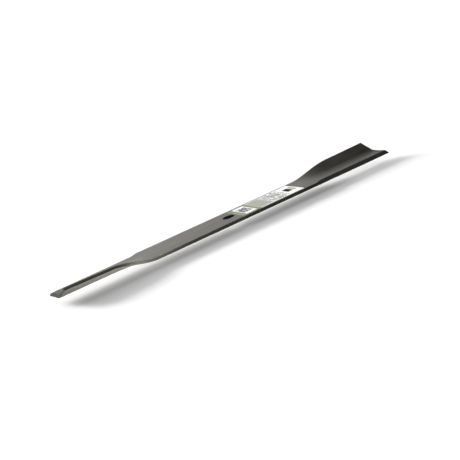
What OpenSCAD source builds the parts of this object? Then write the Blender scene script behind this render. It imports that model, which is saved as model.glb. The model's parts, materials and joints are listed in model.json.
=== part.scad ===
// Rotary mower blade: a flat steel bar with a centre hole, a lift wing bent up on the trailing side
// of each end, a cutting edge ground on the leading side, and a printed label on its upper face.
// The two ends are the same shape, half a turn apart. Seen from above the blade turns clockwise.

/* [Bar] */
// Length of the blade from tip to tip
blade_l = 566; // [480:1:700]
// Width of the bar before the wings are bent up
bar_w = 63.5; // [56:0.5:80]
// Thickness of the steel
bar_t = 5.16; // [4:0.01:7]
// Break along the long rolled edges of the bar
edge_break = 0.5; // [0.3:0.1:0.8]
// Angle by which each end is cut back towards its wing
end_angle = 6.4; // [0:0.1:12]

/* [Spindle hole] */
// Diameter of the centre hole
hole_d = 18.3; // [12:0.1:22]

/* [Lift wings] */
// Distance from the middle of the blade to where a wing starts to rise
wing_start = 134; // [125:1:170]
// Length over which a wing rises to its full bend
wing_rise = 72; // [50:1:90]
// Width that stays flat between the cutting edge and the bend
flat_w = 25.7; // [18:0.1:30]
// Width of steel that the bend takes up, along the middle of the thickness
bend_w = 15.9; // [12:0.1:20]
// Bend angle where the rise ends
rise_angle = 25; // [15:0.5:32]
// Bend angle at the tip
tip_angle = 28; // [15:0.5:35]

/* [Cutting edges] */
// Distance from the middle of the blade to where the ground edge starts
grind_start = 143.5; // [136:0.5:175]
// Length of the slanted start of the ground edge
grind_run = 11.5; // [4:0.5:20]
// Width of the ground bevel, seen from above
bevel_w = 6.5; // [4:0.1:12]
// Height of the blunt land left at the cutting edge
edge_land = 1; // [0.9:0.1:2]

/* [Label] */
// Gap between the centre hole and the label
label_gap = 3; // [1:0.1:8]
// Length of the label along the blade
label_l = 109; // [60:1:110]
// Bare steel left in front of the label, up to the edge that the labelled end cuts with
label_front = 3; // [1:0.1:16]
// Bare steel left behind the label, up to the edge on the side of its wing
label_back = 4.5; // [1:0.1:16]
// Thickness of the label
label_t = 0.15; // [0.1:0.01:0.3]
// Radius of the label's corners
label_r = 1.2; // [0.5:0.1:4]

/* [Hidden] */
half_l = blade_l / 2;
half_w = bar_w / 2;
half_t = bar_t / 2;
// Straight width of a wing, past its bend
wing_w = bar_w - flat_w - bend_w;
wing_full = wing_start + wing_rise;
label_w = bar_w - label_front - label_back;
label_start = hole_d / 2 + label_gap;
// Facets of a wing: across the bend, along the rise, and from there to the tip
bend_steps = 10;
rise_steps = 28;
run_steps = 4;
// Bend angle below which a section counts as flat
flat_angle = 0.001;
// How far a cutter reaches past what it cuts
reach = 2;
$fn = 96;

// Smooth step from 0 to 1
function ease(k) = k * k * (3 - 2 * k);

// Share of the way from a to b, kept between 0 and 1
function share(x, a, b) = max(0, min(1, (x - a) / (b - a)));

// Bend angle of a wing at a distance x from the middle of the blade
function bend_angle(x) =
    rise_angle * ease(share(x, wing_start, wing_full))
    + (tip_angle - rise_angle) * share(x, wing_full, half_l);

// Where the end cut is, at a distance q from the cutting edge
function end_x(q) = half_l - q * tan(end_angle);

// Place across the blade and height of a point of the bent section. u is its distance past the start
// of the bend along the middle of the steel, rho its height above that middle, a the bend angle.
function bent(u, rho, a) =
    a < flat_angle ? [flat_w + u, half_t + rho] :
    let (
        r = bend_w * 180 / (PI * a),
        turn = a * min(u, bend_w) / bend_w,
        rest = max(u - bend_w, 0)
    )
    [
        flat_w + (r - rho) * sin(turn) + rest * cos(a),
        half_t + r - (r - rho) * cos(turn) + rest * sin(a)
    ];

// Distances past the start of the bend at which a face of the wing has points
face_stations = concat(
    [for (i = [0 : bend_steps]) bend_w * i / bend_steps],
    [bend_w + wing_w - edge_break]
);

// The wing's section as [u, rho] points: upper face, rim, lower face
wing_outline = concat(
    [for (u = face_stations) [u, half_t]],
    [for (side = [1, -1]) [bend_w + wing_w, side * (half_t - edge_break)]],
    [for (i = [len(face_stations) - 1 : -1 : 0]) [face_stations[i], -half_t]]
);

// One ring of the wing. out runs from 0, square across the blade, to 1, on the end cut.
function wing_ring(x, out) =
    let (a = bend_angle(x))
    [for (p = wing_outline)
        let (s = bent(p[0], p[1], a))
        [x + out * (end_x(s[0]) - half_l), s[0] - half_w, s[1]]
    ];

// Puts what is drawn for the right end at both ends, half a turn apart
module both_ends() {
    for (turn = [0, 180]) {
        rotate([0, 0, turn]) children();
    }
}

// Extrudes a section that is drawn with the cutting edge at 0, along the blade from x0 to x1
module along_blade(x0, x1) {
    translate([x0, -half_w, 0])
        rotate([90, 0, 90]) linear_extrude(x1 - x0) children();
}

// Section of the bar, with its long edges broken
module bar_section() {
    polygon([
        [edge_break, 0],
        [bar_w - edge_break, 0],
        [bar_w, edge_break],
        [bar_w, bar_t - edge_break],
        [bar_w - edge_break, bar_t],
        [edge_break, bar_t],
        [0, bar_t - edge_break],
        [0, edge_break]
    ]);
}

// Flat strip that carries the cutting edge: the bar in front of the bend, cut back at its end
module edge_strip() {
    intersection() {
        along_blade(wing_start, half_l) intersection() {
            bar_section();
            square([flat_w, bar_t]);
        }
        translate([0, -half_w, -reach]) linear_extrude(bar_t + 2 * reach) polygon([
            [0, -reach],
            [end_x(-reach), -reach],
            [end_x(flat_w + reach), flat_w + reach],
            [0, flat_w + reach]
        ]);
    }
}

// Lift wing: the bent trailing side, lofted from the flat bar to its full bend and on to the tip
module wing() {
    rise = [for (i = [0 : rise_steps]) wing_ring(wing_start + wing_rise * i / rise_steps, 0)];
    run = [
        for (j = [1 : run_steps])
        let (k = j / run_steps)
        wing_ring(wing_full + (half_l - wing_full) * k, k)
    ];
    rings = concat(rise, run);
    n = len(wing_outline);
    last = len(rings) - 1;
    sides = [
        for (i = [0 : last - 1])
        for (j = [0 : n - 1])
        let (a = i * n + j, b = i * n + (j + 1) % n)
        for (triangle = [[a, b, b + n], [a, b + n, a + n]])
        triangle
    ];
    // An end is closed by pairs of triangles between the upper face and the lower one
    outer_end = [
        for (j = [0 : n / 2 - 2])
        let (first = last * n, low = n - 1 - j)
        for (triangle = [[j, j + 1, low - 1], [j, low - 1, low]])
        [for (k = triangle) first + k]
    ];
    inner_end = [for (f = outer_end) [f[2] - last * n, f[1] - last * n, f[0] - last * n]];
    polyhedron(
        points = [for (ring = rings) for (p = ring) p],
        faces = concat(sides, inner_end, outer_end)
    );
}

// Cutter for one ground edge: a wedge above the bevel, with a slanted inner end
module grind() {
    slope = (bar_t - edge_land) / bevel_w;
    run_slope = grind_run / bevel_w;
    top_q = bevel_w + reach;
    top_z = edge_land + slope * top_q;
    tip = half_l + reach;
    intersection() {
        along_blade(0, tip) polygon([
            [-reach, edge_land - slope * reach],
            [top_q, top_z],
            [-reach, top_z]
        ]);
        translate([0, -half_w, -reach]) linear_extrude(top_z + 2 * reach) polygon([
            [grind_start - run_slope * 2 * reach, -2 * reach],
            [tip + reach, -2 * reach],
            [tip + reach, top_q + reach],
            [grind_start + run_slope * (top_q + reach), top_q + reach]
        ]);
    }
}

// The blade: bar, strips and wings of one piece of steel, with its hole and ground edges
module blade() {
    color("dimgray") difference() {
        union() {
            along_blade(-wing_start, wing_start) bar_section();
            both_ends() {
                edge_strip();
                wing();
            }
        }
        translate([0, 0, -reach]) cylinder(d = hole_d, h = bar_t + 2 * reach);
        both_ends() grind();
    }
}

// Outline of a sheet with round corners, its length along x from 0
module round_sheet(l, w, r) {
    translate([r, -w / 2]) square([l - 2 * r, w]);
    translate([0, r - w / 2]) square([l, w - 2 * r]);
    for (x = [r, l - r]) {
        for (y = [r - w / 2, w / 2 - r]) {
            translate([x, y]) circle(r);
        }
    }
}

// Printed label, stuck on the upper face beside the hole
module label() {
    color("white") translate([label_start, (label_front - label_back) / 2, bar_t])
        linear_extrude(label_t) round_sheet(label_l, label_w, label_r);
}

blade();
label();
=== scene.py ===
"""Looks of a rotary mower blade: a dark satin steel bar with ground edges and a printed label."""
import json
import math

import bmesh
import bpy
from mathutils import Matrix, Vector


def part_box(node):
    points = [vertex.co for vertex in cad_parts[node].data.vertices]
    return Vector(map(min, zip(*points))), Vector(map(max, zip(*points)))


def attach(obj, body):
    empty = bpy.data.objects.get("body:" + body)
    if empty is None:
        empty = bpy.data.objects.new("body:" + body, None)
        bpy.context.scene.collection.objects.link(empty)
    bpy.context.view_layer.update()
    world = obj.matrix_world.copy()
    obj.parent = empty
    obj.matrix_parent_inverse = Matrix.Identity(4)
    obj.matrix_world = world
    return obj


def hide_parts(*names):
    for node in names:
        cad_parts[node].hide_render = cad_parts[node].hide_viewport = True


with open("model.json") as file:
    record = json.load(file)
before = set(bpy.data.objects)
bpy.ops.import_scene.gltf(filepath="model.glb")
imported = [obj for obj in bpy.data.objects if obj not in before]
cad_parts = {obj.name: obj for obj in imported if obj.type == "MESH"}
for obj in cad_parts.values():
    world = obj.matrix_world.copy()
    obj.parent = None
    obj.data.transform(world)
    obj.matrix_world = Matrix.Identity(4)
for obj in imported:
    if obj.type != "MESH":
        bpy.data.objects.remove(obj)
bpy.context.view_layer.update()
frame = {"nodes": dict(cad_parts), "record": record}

MM = 0.001


def srgb(red, green, blue):
    """A colour given as it looks, 0 to 255, in the renderer's linear values."""
    def linear(value):
        value /= 255
        return value / 12.92 if value <= 0.04045 else ((value + 0.055) / 1.055) ** 2.4
    return linear(red), linear(green), linear(blue)


# Sizes that the frame gives
LABEL_LOW, LABEL_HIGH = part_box("label")
LABEL_MIDDLE = (LABEL_LOW.y + LABEL_HIGH.y) / 2
BAR_T = LABEL_LOW.z
HALF_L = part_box("blade")[1].x
HOLE_R = next(
    m["dims"]["r_mm"] for m in frame["record"]["mounts"] if m["name"] == "spindle_hole"
) * MM

# Sizes of the bar and of its bent and ground ends, as the part's source has them
BAR_W = 63.5 * MM
WING_START = 134 * MM
WING_FULL = 206 * MM
FLAT_W = 25.7 * MM
BEND_W = 15.9 * MM
RISE_ANGLE = math.radians(25)
TIP_ANGLE = math.radians(28)
END_SLOPE = math.tan(math.radians(6.4))
GRIND_START = 143.5 * MM
GRIND_RUN = 11.5 * MM
BEVEL_W = 6.5 * MM
EDGE_LAND = 1.0 * MM
HALF_W = BAR_W / 2
HALF_T = BAR_T / 2

# Rounding of the long edges on the bar and on the wings, and the length over which it grows
BAR_R = 0.3 * MM
WING_R = 0.7 * MM
ROUNDING_RUN = 40 * MM

# Breaks along the sheared ends and round the punched hole
END_BREAK = 0.35 * MM
HOLE_BREAK = 0.3 * MM

# Fineness of the blade's mesh
ACROSS = 48
CORNER_STEPS = 4
SIDE_STEPS = 12
MIDDLE_STEPS = 20
RISE_STEPS = 48
RUN_STEPS = 16
HOLE_STEPS = 96
MERGE_DISTANCE = 0.002 * MM

# Bend below which a section counts as flat
FLAT_ANGLE = 1e-5

# Angles between faces at which an edge is crisp, and at which it is fully worn with its painted highlight
SHARP_ANGLE = math.radians(32)
WEAR_AND_HIGHLIGHT_ANGLE = math.radians(25)

# How far a cutter reaches past what it cuts, and how far a face may lie from a hole or bevel
REACH = 2 * MM

# Order of the blade's materials
ROLLED, GROUND, SHEARED, SIDE, HOLE = range(5)

# Parts of a face's normal that tell what kind of face it is
END_ALONG = 0.9
BEVEL_OUTWARD = 0.3
BEVEL_UP = 0.6
HOLE_UP = 0.9
SIDE_UP = 0.8

# Dark and light tones of each kind of steel, with darker copies for the sides and the hole as painted
# shade, then a lighter side colour as painted light and the colour of worn edges, which is also a painted
# highlight
ROLLED_TONES = srgb(86, 84, 80), srgb(102, 100, 95)
# The sides' tones are a darker copy of the steel: painted shade
SIDE_PAINTED_SHADE_TONES = srgb(28, 28, 22), srgb(38, 38, 30)
# The hole wall's tones are a near-black copy of the steel: painted shade in the hole
HOLE_PAINTED_SHADE_TONES = srgb(10, 10, 9), srgb(18, 18, 17)
GROUND_TONES = srgb(92, 92, 89), srgb(114, 114, 110)
SHEARED_TONES = srgb(54, 53, 50), srgb(100, 98, 95)
# A lighter colour for the sides along the wings: painted light
SIDE_PAINTED_LIGHT = srgb(66, 65, 59)
# Worn edges, made brighter than wear alone as a painted highlight
WORN_EDGE_AND_HIGHLIGHT = srgb(168, 165, 158)

# Sheen of the steels
WARM_TINT = (1.0, 0.985, 0.93, 1.0)
ROLLED_METALLIC = 0.7
GROUND_METALLIC = 0.9
SHEARED_METALLIC = 0.6
ROLLED_ROUGHNESS = 0.36
SIDE_ROUGHNESS = 0.26
GROUND_ROUGHNESS = 0.26
SHEARED_ROUGHNESS = 0.5

# Distances from the middle of the blade over which the sides turn to the lighter colour that is painted
# light
PAINTED_LIGHT_FROM = 70 * MM
PAINTED_LIGHT_TO = 150 * MM

# Distances at which the tips start to change in tone, as painted shade on the rolled steel and painted
# light on the sides, and to grow rougher, and how far they go
TIP_PAINTED_TONE_FROM = 200 * MM
TIP_ROUGH_FROM = 250 * MM
ROLLED_TIP_PAINTED_SHADE = 0.9
SIDE_TIP_PAINTED_LIGHT = 2.0
TIP_ROUGHNESS = 0.16

# Noises: waves a metre along the blade, across it and up, then detail and roughness
CLOUD = (28, 60, 60), 5.0, 0.55
GRAIN = (25, 900, 900), 3.0, 0.6
SPECK = (900, 1300, 1300), 2.0, 0.55
STREAKS = (16, 210, 210), 3.0, 0.7
WHEEL_LINES = (2600, 120, 120), 3.0, 0.65
WHEEL_CLOUD = (90, 90, 90), 3.0, 0.55
DRAG_LINES = (600, 1500, 90), 3.0, 0.6
TORN = (900, 900, 700), 4.0, 0.7
PAPER_TINT = (400, 400, 400), 2.0, 0.55
PAPER_GLOSS = (60, 60, 60), 4.0, 0.55
PAPER_GRAIN = (700, 700, 700), 3.0, 0.55

# Spans of a noise that are spread out over its whole effect
NOISE_SPAN = 0.3, 0.7
GRAIN_SPAN = 0.35, 0.7
TORN_SPAN = 0.35, 0.65

# What a noise does at the two ends of its span: darken and lighten, or thin the wear and its painted
# highlight
GRAIN_TONES = 0.86, 1.08
STREAK_TONES = 0.8, 1.2
DRAG_TONES = 0.75, 1.1
SPECK_WEAR_AND_HIGHLIGHT = 0.3, 1.0
WEAR_AND_HIGHLIGHT_POWER = 2.0

# How much roughness a noise adds where it is full
CLOUD_ROUGHNESS = 0.14
GRAIN_ROUGHNESS = 0.1
WHEEL_ROUGHNESS = 0.15
TORN_ROUGHNESS = 0.2
PAPER_ROUGHNESS = 0.2

# Relief that a noise gives: depth and strength
SPECK_RELIEF = 0.02 * MM, 0.5
GRAIN_RELIEF = 0.03 * MM, 0.6
WHEEL_RELIEF = 0.03 * MM, 0.8
TORN_RELIEF = 0.12 * MM, 0.8
DRAG_RELIEF = 0.08 * MM, 0.8
PAPER_RELIEF = 0.003 * MM, 0.5

# Label stock and inks
PAPER_TONES = srgb(250, 251, 249), srgb(254, 254, 253)
LABEL_ROUGHNESS = 0.7
LABEL_SPECULAR = 0.1
GREEN = srgb(142, 151, 122)
PALE_GREEN = srgb(186, 190, 172)
WHITE = srgb(252, 253, 251)
LILAC = srgb(112, 111, 120)
MID_GREY = srgb(150, 152, 150)
DARK_GREY = srgb(84, 86, 86)
INK = srgb(34, 34, 31)
SOFT_INK = srgb(62, 62, 58)

# Printed fields in mm: start and end along the label, low and high across it from its middle
FIRST_GROUND = 0, 31, -30, 30
SQUARES_PANEL = 6.5, 25, -24, 24
SQUARES = 8, 23, -15.5, 15.5
SECOND_GROUND = 31, 54, -26, 26
DARK_FIELD = 90, 99.5, -11, 10
END_FIELD = 101.5, 106, -12, 12

# Rows of printed bars in mm: start and end along the label, reach to each side of its middle and
# pitch of the rows, then a number that sets where chance leaves gaps
FINE_BARS = 32, 51, 25, 1.9, 3.0
GREY_BARS = 53, 66, 26, 3.2, 11.0
DARK_BARS = 66.5, 78.5, 26, 4.4, 23.0
GREEN_BARS = 78, 87, 24, 2.8, 31.0

# Sizes of the printed pieces in mm, the part of a row that its bars fill, and the shares left empty
SQUARE_SIZE = 2.0
BAR_PIECE = 2.4
BAR_FILL = 0.25, 0.75
BAR_GAPS = 0.12
SQUARE_GAPS = 0.2

# Levels of the studio, and the heights and depths over which its backdrop fades out
AMBIENT = 0.1
BACKDROP = 1.06
BACKDROP_HEIGHT = 0.2, 0.56
BACKDROP_DEPTH = 0.0, 0.6

# The floor lies a little below the blade, so that the shadow falls clear of it
FLOOR_DROP = 12 * MM
FLOOR_SIZE = 60.0
FLOOR_WHITE = (0.95, 0.95, 0.95, 1.0)
FLOOR_GLOW = 0.06

# A small lamp in front, turned to the left end
FILL_ENERGY = 0.92
FILL_SIZE = 160 * MM
FILL_PLACE = Vector((-20, -350, 30)) * MM
FILL_AIM = Vector((-160, -30, 0)) * MM

# A weak panel that faces up under the left wing, just above the floor
PANEL_ENERGY = 0.031
PANEL_LENGTH = 170 * MM
PANEL_WIDTH = 60 * MM
PANEL_PLACE = Vector((-200, -33, 1)) * MM

# The camera, fitted to the photograph's edges
CAMERA_AIM = Vector((-25.8, -48.1, 0)) * MM
CAMERA_DISTANCE = 1367.9 * MM
CAMERA_AZIMUTH = math.radians(-24.15)
CAMERA_ELEVATION = math.radians(14.82)
CAMERA_ROLL = math.radians(-18.42)
CAMERA_LENS = 74.95
CAMERA_SENSOR = 36

# Places of a mix node's colour sockets
MIX_FACTOR, MIX_A, MIX_B = 0, 6, 7
MIX_RESULT = 2


def link(name, data):
    """A new object of that name in the scene."""
    piece = bpy.data.objects.new(name, data)
    bpy.context.scene.collection.objects.link(piece)
    return piece


def to_mesh(bm, name):
    """A new mesh of that name. The working mesh is freed."""
    mesh = bpy.data.meshes.new(name)
    bm.to_mesh(mesh)
    bm.free()
    return mesh


def closed_mesh(bm, name):
    """A new mesh of that name whose faces all look outwards."""
    bmesh.ops.recalc_face_normals(bm, faces=bm.faces)
    return to_mesh(bm, name)


def skin(bm, loops):
    """Faces between each loop of points and the next one."""
    for a, b in zip(loops, loops[1:]):
        for i in range(len(a)):
            j = (i + 1) % len(a)
            bm.faces.new((a[i], a[j], b[j], b[i]))


# Shape of the blade

def share(x, a, b):
    """Share of the way from a to b, kept between 0 and 1."""
    return max(0.0, min(1.0, (x - a) / (b - a)))


def bend_angle(x):
    """Bend of a wing at a distance x from the middle of the blade."""
    k = share(x, WING_START, WING_FULL)
    rise = RISE_ANGLE * k * k * (3 - 2 * k)
    return rise + (TIP_ANGLE - RISE_ANGLE) * share(x, WING_FULL, HALF_L)


def bent(u, rho, angle):
    """Place across the blade and height of a point of the bent section.

    u is its distance from the cutting edge along the middle of the steel, rho its height above that.
    """
    if u <= FLAT_W or angle < FLAT_ANGLE:
        return u, HALF_T + rho
    past = u - FLAT_W
    radius = BEND_W / angle
    turn = angle * min(past, BEND_W) / BEND_W
    rest = max(past - BEND_W, 0.0)
    q = FLAT_W + (radius - rho) * math.sin(turn) + rest * math.cos(angle)
    z = HALF_T + radius - (radius - rho) * math.cos(turn) + rest * math.sin(angle)
    return q, z


def blade_point(x, u, rho, out):
    """A point of the blade. out is 1 on the slanted end cut, and 0 where the section is square."""
    side = 1 if x >= 0 else -1
    along = abs(x)
    q, z = bent(u if side > 0 else BAR_W - u, rho, bend_angle(along))
    along -= out * q * END_SLOPE
    return side * along, side * (q - HALF_W), z


def edge_radius(x, on_wing):
    """Rounding of a long edge at x. On the side of the wing it grows up to the start of the wing."""
    grown = share(abs(x), WING_START - ROUNDING_RUN, WING_START) if on_wing else 0.0
    return BAR_R + (WING_R - BAR_R) * grown


def half_section(start_r, end_r, inset):
    """One face and the long side after it as (u, rho) points, drawn in by inset."""
    low_u, high_u = inset + start_r, BAR_W - inset - end_r
    top = HALF_T - inset
    mid = top - end_r
    face = [(low_u + (high_u - low_u) * i / ACROSS, top) for i in range(ACROSS + 1)]
    corner = [math.pi / 2 * j / CORNER_STEPS for j in range(1, CORNER_STEPS + 1)]
    side = [(high_u + end_r * math.sin(a), mid + end_r * math.cos(a)) for a in corner]
    side += [(high_u + end_r, mid * (1 - 2 * j / SIDE_STEPS)) for j in range(1, SIDE_STEPS)]
    side += [(high_u + end_r * math.cos(a), -mid - end_r * math.sin(a)) for a in [0.0] + corner[:-1]]
    return face + side


def section(x, inset):
    """The bar's section at x as (u, rho) points: upper face, far side, lower face, near side."""
    near_r = edge_radius(x, x < 0) - inset / 2
    far_r = edge_radius(x, x > 0) - inset / 2
    lower = half_section(far_r, near_r, inset)
    return half_section(near_r, far_r, inset) + [(BAR_W - u, -rho) for u, rho in lower]


def stations():
    """(x, out, inset) of the rings of one end, from the middle to the tip."""
    rings = [(WING_START * i / MIDDLE_STEPS, 0.0, 0.0) for i in range(MIDDLE_STEPS)]
    rise = WING_FULL - WING_START
    rings += [(WING_START + rise * i / RISE_STEPS, 0.0, 0.0) for i in range(RISE_STEPS)]
    run = HALF_L - END_BREAK - WING_FULL
    for i in range(RUN_STEPS + 1):
        k = i / RUN_STEPS
        rings.append((WING_FULL + run * k, k, 0.0))
    return rings + [(HALF_L, 1.0, END_BREAK)]


def close_end(bm, ring):
    """Closes an end of the bar by quads between its upper face and its lower one."""
    count = len(ring)
    for i in range(count // 2 - 1):
        j = count - 1 - i
        bm.faces.new([ring[(k + ACROSS + 1) % count] for k in (i, i + 1, j - 1, j)])


def lofted_bar():
    """The bent bar before it is punched and ground, as a mesh of quads."""
    right = stations()
    rings = [(-x, out, inset) for x, out, inset in reversed(right[1:])] + right
    bm = bmesh.new()
    loops = []
    for x, out, inset in rings:
        points = [blade_point(x, u, rho, out) for u, rho in section(x, inset)]
        loops.append([bm.verts.new(p) for p in points])
    skin(bm, loops)
    close_end(bm, loops[0])
    close_end(bm, loops[-1])
    return closed_mesh(bm, "bar")


def hole_cutter():
    """A turned cutter for the spindle hole, which breaks both edges of the hole."""
    wide = HOLE_R + HOLE_BREAK + REACH
    profile = [
        (wide, -REACH),
        (HOLE_R, HOLE_BREAK),
        (HOLE_R, BAR_T - HOLE_BREAK),
        (wide, BAR_T + REACH),
    ]
    turns = [2 * math.pi * i / HOLE_STEPS for i in range(HOLE_STEPS)]
    bm = bmesh.new()
    rings = []
    for r, z in profile:
        rings.append([bm.verts.new((r * math.cos(a), r * math.sin(a), z)) for a in turns])
    skin(bm, rings)
    bm.faces.new(rings[0])
    bm.faces.new(rings[-1])
    return closed_mesh(bm, "hole_cutter")


def grind_cutter(side):
    """A wedge that leaves the ground bevel of one end, with a slanted inner end."""
    slope = (BAR_T - EDGE_LAND) / BEVEL_W
    top_q = BEVEL_W + REACH
    top_z = EDGE_LAND + slope * top_q
    wedge = [(-REACH, EDGE_LAND - slope * REACH), (top_q, top_z), (-REACH, top_z)]
    inner = [(GRIND_START + GRIND_RUN * q / BEVEL_W, q, z) for q, z in wedge]
    outer = [(HALF_L + REACH, q, z) for q, z in wedge]
    bm = bmesh.new()
    ends = []
    for triangle in (inner, outer):
        ends.append([bm.verts.new((side * x, side * (q - HALF_W), z)) for x, q, z in triangle])
    skin(bm, ends)
    bm.faces.new(ends[0])
    bm.faces.new(ends[1])
    return closed_mesh(bm, "grind_cutter")


def cut(piece, cutters):
    """The piece's mesh with the cutters' meshes taken out of it."""
    tools = [link("cutter", mesh) for mesh in cutters]
    for tool in tools:
        step = piece.modifiers.new("cut", "BOOLEAN")
        step.operation = "DIFFERENCE"
        step.solver = "EXACT"
        step.object = tool
    graph = bpy.context.evaluated_depsgraph_get()
    mesh = bpy.data.meshes.new_from_object(piece.evaluated_get(graph))
    piece.modifiers.clear()
    for tool in tools:
        bpy.data.objects.remove(tool)
    return mesh


def gets_wear_and_highlight(point):
    """Whether an edge at that point is worn bright, with a painted highlight: not at the hole, a bevel,
    an end or the underside.
    """
    x, y, z = point
    from_edge = HALF_W + (y if x > 0 else -y)
    at_hole = math.hypot(x, y) < HOLE_R + REACH
    at_bevel = abs(x) > GRIND_START - REACH and from_edge < BEVEL_W + REACH
    at_end = abs(x) + END_SLOPE * from_edge > HALF_L - 2 * END_BREAK
    return z > HALF_T and not (at_hole or at_bevel or at_end)


def finish_edges(mesh):
    """Smooth faces with crisp ground edges, and an attribute that marks worn edges and their painted
    highlight.
    """
    bm = bmesh.new()
    bm.from_mesh(mesh)
    bmesh.ops.remove_doubles(bm, verts=bm.verts, dist=MERGE_DISTANCE)
    for face in bm.faces:
        face.smooth = True
    wear_and_highlight = bm.verts.layers.float.new("wear_and_highlight")
    for edge in bm.edges:
        angle = edge.calc_face_angle(0.0)
        edge.smooth = angle < SHARP_ANGLE
        for vert in edge.verts:
            if gets_wear_and_highlight(vert.co):
                vert[wear_and_highlight] = max(vert[wear_and_highlight], min(1.0, angle / WEAR_AND_HIGHLIGHT_ANGLE))
    bm.to_mesh(mesh)
    bm.free()


def mark_faces(mesh):
    """Gives each kind of face its material: sheared ends, ground bevels, hole wall and sides."""
    for face in mesh.polygons:
        x, y = face.center.x, face.center.y
        normal = face.normal
        past_grind = abs(x) > GRIND_START
        edge_side = x * y < 0 and normal.y * y > BEVEL_OUTWARD * abs(y)
        if past_grind and abs(normal.x) > END_ALONG:
            face.material_index = SHEARED
        elif past_grind and edge_side and normal.z > BEVEL_UP:
            face.material_index = GROUND
        elif abs(normal.z) < HOLE_UP and math.hypot(x, y) < HOLE_R + REACH:
            face.material_index = HOLE
        elif abs(normal.z) < SIDE_UP:
            face.material_index = SIDE


# Materials

class Nodes:
    """Short ways to add nodes to a node tree."""

    def __init__(self, tree):
        self.tree = tree

    def add(self, kind, **settings):
        """A new node of that kind with those settings."""
        made = self.tree.nodes.new(kind)
        for key, value in settings.items():
            setattr(made, key, value)
        return made

    def wire(self, source, target):
        """A link from an output to an input."""
        self.tree.links.new(source, target)

    def coordinates(self, scale):
        """The piece's own coordinates in metres, times a scale along each axis."""
        place = self.add("ShaderNodeTexCoord")
        stretch = self.add("ShaderNodeMapping")
        stretch.inputs["Scale"].default_value = scale
        self.wire(place.outputs["Object"], stretch.inputs["Vector"])
        return stretch.outputs["Vector"]

    def split(self, vector):
        """The x, y and z of a vector."""
        made = self.add("ShaderNodeSeparateXYZ")
        self.wire(vector, made.inputs["Vector"])
        return made.outputs

    def noise(self, waves, detail, roughness):
        """Noise from 0 to 1 whose grain has that many waves a metre along each axis."""
        made = self.add("ShaderNodeTexNoise")
        made.inputs["Scale"].default_value = 1.0
        made.inputs["Detail"].default_value = detail
        made.inputs["Roughness"].default_value = roughness
        self.wire(self.coordinates(waves), made.inputs["Vector"])
        return made.outputs["Fac"]

    def math(self, operation, *values):
        """The result of a sum on outputs and plain numbers."""
        made = self.add("ShaderNodeMath", operation=operation)
        for socket, value in zip(made.inputs, values):
            if isinstance(value, (int, float)):
                socket.default_value = value
            else:
                self.wire(value, socket)
        return made.outputs[0]

    def range(self, value, span, ends=(0.0, 1.0)):
        """A smooth step between two ends, over a span of the value."""
        made = self.add("ShaderNodeMapRange", interpolation_type="SMOOTHSTEP")
        for name, number in zip(("From Min", "From Max"), span):
            made.inputs[name].default_value = number
        for name, number in zip(("To Min", "To Max"), ends):
            made.inputs[name].default_value = number
        self.wire(value, made.inputs["Value"])
        return made.outputs["Result"]

    def mix(self, factor, a, b, blend="MIX"):
        """Two colours mixed by a factor."""
        made = self.add("ShaderNodeMix", data_type="RGBA", blend_type=blend)
        for place, value in ((MIX_FACTOR, factor), (MIX_A, a), (MIX_B, b)):
            socket = made.inputs[place]
            if isinstance(value, (int, float)):
                socket.default_value = value
            elif isinstance(value, tuple):
                socket.default_value = (*value, 1.0)
            else:
                self.wire(value, socket)
        return made.outputs[MIX_RESULT]

    def shade(self, colour, level):
        """A colour times a level."""
        return self.mix(1.0, colour, level, "MULTIPLY")

    def bump(self, height, depth, strength, below=None):
        """Relief of that depth, on top of the relief below it."""
        made = self.add("ShaderNodeBump")
        made.inputs["Distance"].default_value = depth
        made.inputs["Strength"].default_value = strength
        self.wire(height, made.inputs["Height"])
        if below is not None:
            self.wire(below, made.inputs["Normal"])
        return made.outputs["Normal"]


def start_material(name):
    """A new material, its node tree's helper and the inputs of its shader."""
    material = bpy.data.materials.new(name)
    material.use_nodes = True
    tree = material.node_tree
    return material, Nodes(tree), tree.nodes["Principled BSDF"].inputs


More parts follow.
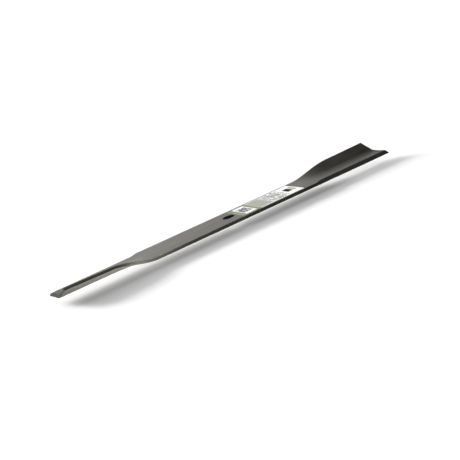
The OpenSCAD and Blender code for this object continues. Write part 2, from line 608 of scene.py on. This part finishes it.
def steel_material(
    name, tones, roughness=ROLLED_ROUGHNESS, painted_light=None, tip_painted_tone=ROLLED_TIP_PAINTED_SHADE
):
    """Dark rolled steel: grain along the bar, cloudy scale, worn edges brightened further as a painted
    highlight, a tone at the tips that is painted shade where it darkens and painted light where it
    lightens, and rougher tips.

    The lighter side colour, painted light, where there is one, takes over along the sides that carry a
    wing.
    """
    material, n, shader = start_material(name)
    cloud = n.noise(*CLOUD)
    grain = n.noise(*GRAIN)
    speck = n.noise(*SPECK)
    colour = n.mix(n.range(cloud, NOISE_SPAN), *tones)
    place = n.split(n.coordinates((1, 1 / HALF_W, 1)))
    # Lighter sides along the wings: painted light
    if painted_light is not None:
        on_wing_side = n.math("MULTIPLY", place["X"], place["Y"])
        colour = n.mix(n.range(on_wing_side, (PAINTED_LIGHT_FROM, PAINTED_LIGHT_TO)), colour, painted_light)
    distance = n.math("ABSOLUTE", place["X"])
    # Tone towards the tips: painted shade where it darkens, painted light where it lightens
    colour = n.shade(colour, n.range(distance, (TIP_PAINTED_TONE_FROM, HALF_L), (1.0, tip_painted_tone)))
    colour = n.shade(colour, n.range(grain, GRAIN_SPAN, GRAIN_TONES))
    colour = n.shade(colour, n.range(n.noise(*STREAKS), NOISE_SPAN, STREAK_TONES))
    # Worn edges, brightened further than wear as a painted highlight
    wear_and_highlight = n.add("ShaderNodeAttribute", attribute_name="wear_and_highlight").outputs["Fac"]
    wear_and_highlight = n.math("POWER", wear_and_highlight, WEAR_AND_HIGHLIGHT_POWER)
    wear_and_highlight = n.math("MULTIPLY", wear_and_highlight, n.range(speck, NOISE_SPAN, SPECK_WEAR_AND_HIGHLIGHT))
    n.wire(n.mix(wear_and_highlight, colour, WORN_EDGE_AND_HIGHLIGHT), shader["Base Color"])
    rough = n.math("MULTIPLY_ADD", cloud, CLOUD_ROUGHNESS, roughness)
    rough = n.math("MULTIPLY_ADD", grain, GRAIN_ROUGHNESS, rough)
    rough_tip = n.range(distance, (TIP_ROUGH_FROM, HALF_L), (0.0, TIP_ROUGHNESS))
    n.wire(n.math("ADD", rough, rough_tip), shader["Roughness"])
    shader["Metallic"].default_value = ROLLED_METALLIC
    shader["Specular Tint"].default_value = WARM_TINT
    fine = n.bump(speck, *SPECK_RELIEF)
    n.wire(n.bump(grain, *GRAIN_RELIEF, fine), shader["Normal"])
    return material


def ground_material():
    """Ground steel of the cutting edges: close wheel lines across the bevel."""
    material, n, shader = start_material("ground_steel")
    lines = n.noise(*WHEEL_LINES)
    cloud = n.noise(*WHEEL_CLOUD)
    n.wire(n.mix(n.range(lines, NOISE_SPAN), *GROUND_TONES), shader["Base Color"])
    rough = n.math("MULTIPLY_ADD", cloud, WHEEL_ROUGHNESS, GROUND_ROUGHNESS)
    n.wire(rough, shader["Roughness"])
    shader["Metallic"].default_value = GROUND_METALLIC
    n.wire(n.bump(lines, *WHEEL_RELIEF), shader["Normal"])
    return material


def sheared_material():
    """Sheared steel of the two ends: a coarse torn surface with drag lines up the face."""
    material, n, shader = start_material("sheared_end")
    drag = n.noise(*DRAG_LINES)
    torn = n.noise(*TORN)
    colour = n.mix(n.range(torn, TORN_SPAN), *SHEARED_TONES)
    colour = n.shade(colour, n.range(drag, NOISE_SPAN, DRAG_TONES))
    n.wire(colour, shader["Base Color"])
    rough = n.math("MULTIPLY_ADD", torn, TORN_ROUGHNESS, SHEARED_ROUGHNESS)
    n.wire(rough, shader["Roughness"])
    shader["Metallic"].default_value = SHEARED_METALLIC
    coarse = n.bump(torn, *TORN_RELIEF)
    n.wire(n.bump(drag, *DRAG_RELIEF, coarse), shader["Normal"])
    return material


def label_material():
    """White label stock with plain printed fields, rows of bars and a patch of random squares."""
    material, n, shader = start_material("printed_label")
    place = n.split(n.add("ShaderNodeTexCoord").outputs["Object"])
    along = n.math("MULTIPLY_ADD", place["X"], 1 / MM, -LABEL_LOW.x / MM)
    across = n.math("MULTIPLY_ADD", place["Y"], 1 / MM, -LABEL_MIDDLE / MM)

    def within(value, low, high):
        """1 where the value lies between low and high."""
        middle, half = (low + high) / 2, (high - low) / 2
        return n.math("LESS_THAN", n.math("ABSOLUTE", n.math("SUBTRACT", value, middle)), half)

    def count(value, size):
        """The number of the step of that size that the value lies in."""
        return n.math("FLOOR", n.math("DIVIDE", value, size))

    def chance(a, b, gaps):
        """1 or, for that share of the pairs of numbers, 0."""
        spot = n.add("ShaderNodeCombineXYZ")
        n.wire(a, spot.inputs["X"])
        n.wire(b, spot.inputs["Y"])
        pick = n.add("ShaderNodeTexWhiteNoise", noise_dimensions="2D")
        n.wire(spot.outputs["Vector"], pick.inputs["Vector"])
        return n.math("GREATER_THAN", pick.outputs["Value"], gaps)

    def field(x0, x1, y0, y1):
        """A plain rectangle."""
        return n.math("MULTIPLY", within(along, x0, x1), within(across, y0, y1))

    def bars(x0, x1, reach, pitch, seed):
        """Rows of bars across the label, cut into pieces of uneven length."""
        row = n.math("ADD", count(along, pitch), seed)
        stripe = within(n.math("FRACT", n.math("DIVIDE", along, pitch)), *BAR_FILL)
        inked = chance(row, count(across, BAR_PIECE), BAR_GAPS)
        return n.math("MULTIPLY", field(x0, x1, -reach, reach), n.math("MULTIPLY", stripe, inked))

    def squares(x0, x1, y0, y1):
        """Small squares, filled or empty by chance."""
        inked = chance(count(along, SQUARE_SIZE), count(across, SQUARE_SIZE), SQUARE_GAPS)
        return n.math("MULTIPLY", field(x0, x1, y0, y1), inked)

    printed = [
        (field(*FIRST_GROUND), GREEN),
        (field(*SQUARES_PANEL), WHITE),
        (squares(*SQUARES), LILAC),
        (field(*SECOND_GROUND), PALE_GREEN),
        (bars(*FINE_BARS), MID_GREY),
        (bars(*GREY_BARS), DARK_GREY),
        (bars(*DARK_BARS), SOFT_INK),
        (bars(*GREEN_BARS), GREEN),
        (field(*DARK_FIELD), INK),
        (field(*END_FIELD), GREEN),
    ]
    colour = n.mix(n.noise(*PAPER_TINT), *PAPER_TONES)
    for mask, ink in printed:
        colour = n.mix(mask, colour, ink)
    n.wire(colour, shader["Base Color"])
    rough = n.math("MULTIPLY_ADD", n.noise(*PAPER_GLOSS), PAPER_ROUGHNESS, LABEL_ROUGHNESS)
    n.wire(rough, shader["Roughness"])
    shader["Specular IOR Level"].default_value = LABEL_SPECULAR
    n.wire(n.bump(n.noise(*PAPER_GRAIN), *PAPER_RELIEF), shader["Normal"])
    return material


# Pieces

def build_blade():
    """The blade's own mesh, in place of its CAD solid."""
    bar = link("mower_blade", lofted_bar())
    bar.data = cut(bar, [hole_cutter(), grind_cutter(1), grind_cutter(-1)])
    finish_edges(bar.data)
    materials = {
        ROLLED: steel_material("rolled_steel", ROLLED_TONES),
        GROUND: ground_material(),
        SHEARED: sheared_material(),
        # The sides: a darker copy of the steel as painted shade, lighter along the wings and at the tips
        # as painted light
        SIDE: steel_material("side_painted_shade_and_light", SIDE_PAINTED_SHADE_TONES, SIDE_ROUGHNESS, SIDE_PAINTED_LIGHT, SIDE_TIP_PAINTED_LIGHT),
        # The hole wall: a near-black copy of the steel, painted shade
        HOLE: steel_material("hole_painted_shade", HOLE_PAINTED_SHADE_TONES),
    }
    bar.data.materials.clear()
    for kind in sorted(materials):
        bar.data.materials.append(materials[kind])
    mark_faces(bar.data)
    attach(bar, "root")
    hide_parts("blade")


def build_label():
    """The CAD sheet of the label with its print."""
    sheet = frame["nodes"]["label"]
    sheet.data.materials.clear()
    sheet.data.materials.append(label_material())


# Stage

def add_floor():
    """A plain white floor that glows a little for the camera and in the steel."""
    bm = bmesh.new()
    bmesh.ops.create_grid(bm, x_segments=1, y_segments=1, size=FLOOR_SIZE)
    floor = link("floor", to_mesh(bm, "floor"))
    floor.location.z = -FLOOR_DROP
    material, n, shader = start_material("floor_white")
    shader["Base Color"].default_value = FLOOR_WHITE
    shader["Roughness"].default_value = 1.0
    shader["Specular IOR Level"].default_value = 0.0
    shader["Emission Color"].default_value = (1.0, 1.0, 1.0, 1.0)
    path = n.add("ShaderNodeLightPath").outputs
    mirrored = n.math("MAXIMUM", path["Is Glossy Ray"], path["Is Transmission Ray"])
    seen = n.math("MAXIMUM", mirrored, path["Is Camera Ray"])
    n.wire(n.math("MULTIPLY", seen, FLOOR_GLOW), shader["Emission Strength"])
    floor.data.materials.append(material)


def add_world():
    """A dim studio with a white backdrop behind the blade, low down. The camera sees white."""
    world = bpy.data.worlds.new("studio")
    bpy.context.scene.world = world
    world.use_nodes = True
    n = Nodes(world.node_tree)
    shader = n.tree.nodes["Background"].inputs
    shader["Color"].default_value = (1.0, 1.0, 1.0, 1.0)
    place = n.split(n.add("ShaderNodeTexCoord").outputs["Generated"])
    low = n.range(place["Z"], BACKDROP_HEIGHT, (1.0, 0.0))
    behind = n.range(place["Y"], BACKDROP_DEPTH)
    glow = n.math("MULTIPLY", n.math("MULTIPLY", low, behind), BACKDROP)
    level = n.math("ADD", glow, AMBIENT)
    seen = n.add("ShaderNodeLightPath").outputs["Is Camera Ray"]
    n.wire(n.math("MAXIMUM", level, seen), shader["Strength"])


def turn_from(holder, towards):
    """Turns a lamp so that it shines from that direction."""
    holder.rotation_mode = "QUATERNION"
    holder.rotation_quaternion = towards.to_track_quat("Z", "Y")


def add_sun(name, azimuth, elevation, strength, angle, mirrored):
    """A soft distant lamp. Azimuth 0 shines from behind the blade, +90 from its right."""
    lamp = bpy.data.lights.new(name, "SUN")
    lamp.energy = strength
    lamp.angle = math.radians(angle)
    holder = link(name, lamp)
    holder.visible_glossy = mirrored
    a, e = math.radians(azimuth), math.radians(elevation)
    turn_from(holder, Vector((math.sin(a) * math.cos(e), math.cos(a) * math.cos(e), math.sin(e))))


def add_fill():
    """A small soft lamp in front, whose light falls off along the blade."""
    lamp = bpy.data.lights.new("fill", "AREA")
    lamp.energy = FILL_ENERGY
    lamp.size = FILL_SIZE
    holder = link("fill", lamp)
    holder.location = FILL_PLACE
    turn_from(holder, FILL_PLACE - FILL_AIM)


def add_panel():
    """A weak panel that throws light up at the left wing, as a white table does."""
    lamp = bpy.data.lights.new("panel", "AREA")
    lamp.shape = "RECTANGLE"
    lamp.energy = PANEL_ENERGY
    lamp.size = PANEL_LENGTH
    lamp.size_y = PANEL_WIDTH
    holder = link("panel", lamp)
    holder.location = PANEL_PLACE
    holder.location.z -= FLOOR_DROP
    holder.rotation_euler.x = math.pi


def add_camera():
    """The camera that looks at the blade as the photograph does."""
    lens = bpy.data.cameras.new("camera")
    lens.sensor_width = CAMERA_SENSOR
    lens.lens = CAMERA_LENS
    camera = link("camera", lens)
    flat = math.cos(CAMERA_ELEVATION)
    back = Vector((
        math.sin(CAMERA_AZIMUTH) * flat,
        -math.cos(CAMERA_AZIMUTH) * flat,
        math.sin(CAMERA_ELEVATION),
    ))
    camera.location = CAMERA_AIM + back * CAMERA_DISTANCE
    level = (-back).to_track_quat("-Z", "Y").to_matrix().to_4x4()
    camera.rotation_euler = (level @ Matrix.Rotation(CAMERA_ROLL, 4, "Z")).to_euler()
    bpy.context.scene.camera = camera


bpy.context.scene.view_settings.view_transform = "Standard"
add_camera()
add_world()
add_floor()
add_sun("key", azimuth=-24, elevation=60, strength=0.8, angle=70, mirrored=False)
add_sun("low_key", azimuth=-24, elevation=16, strength=6.4, angle=22, mirrored=False)
add_sun("back", azimuth=-4, elevation=20, strength=0.75, angle=40, mirrored=True)
add_sun("sheen", azimuth=30, elevation=25, strength=0.2, angle=50, mirrored=True)
add_fill()
add_panel()
build_blade()
build_label()
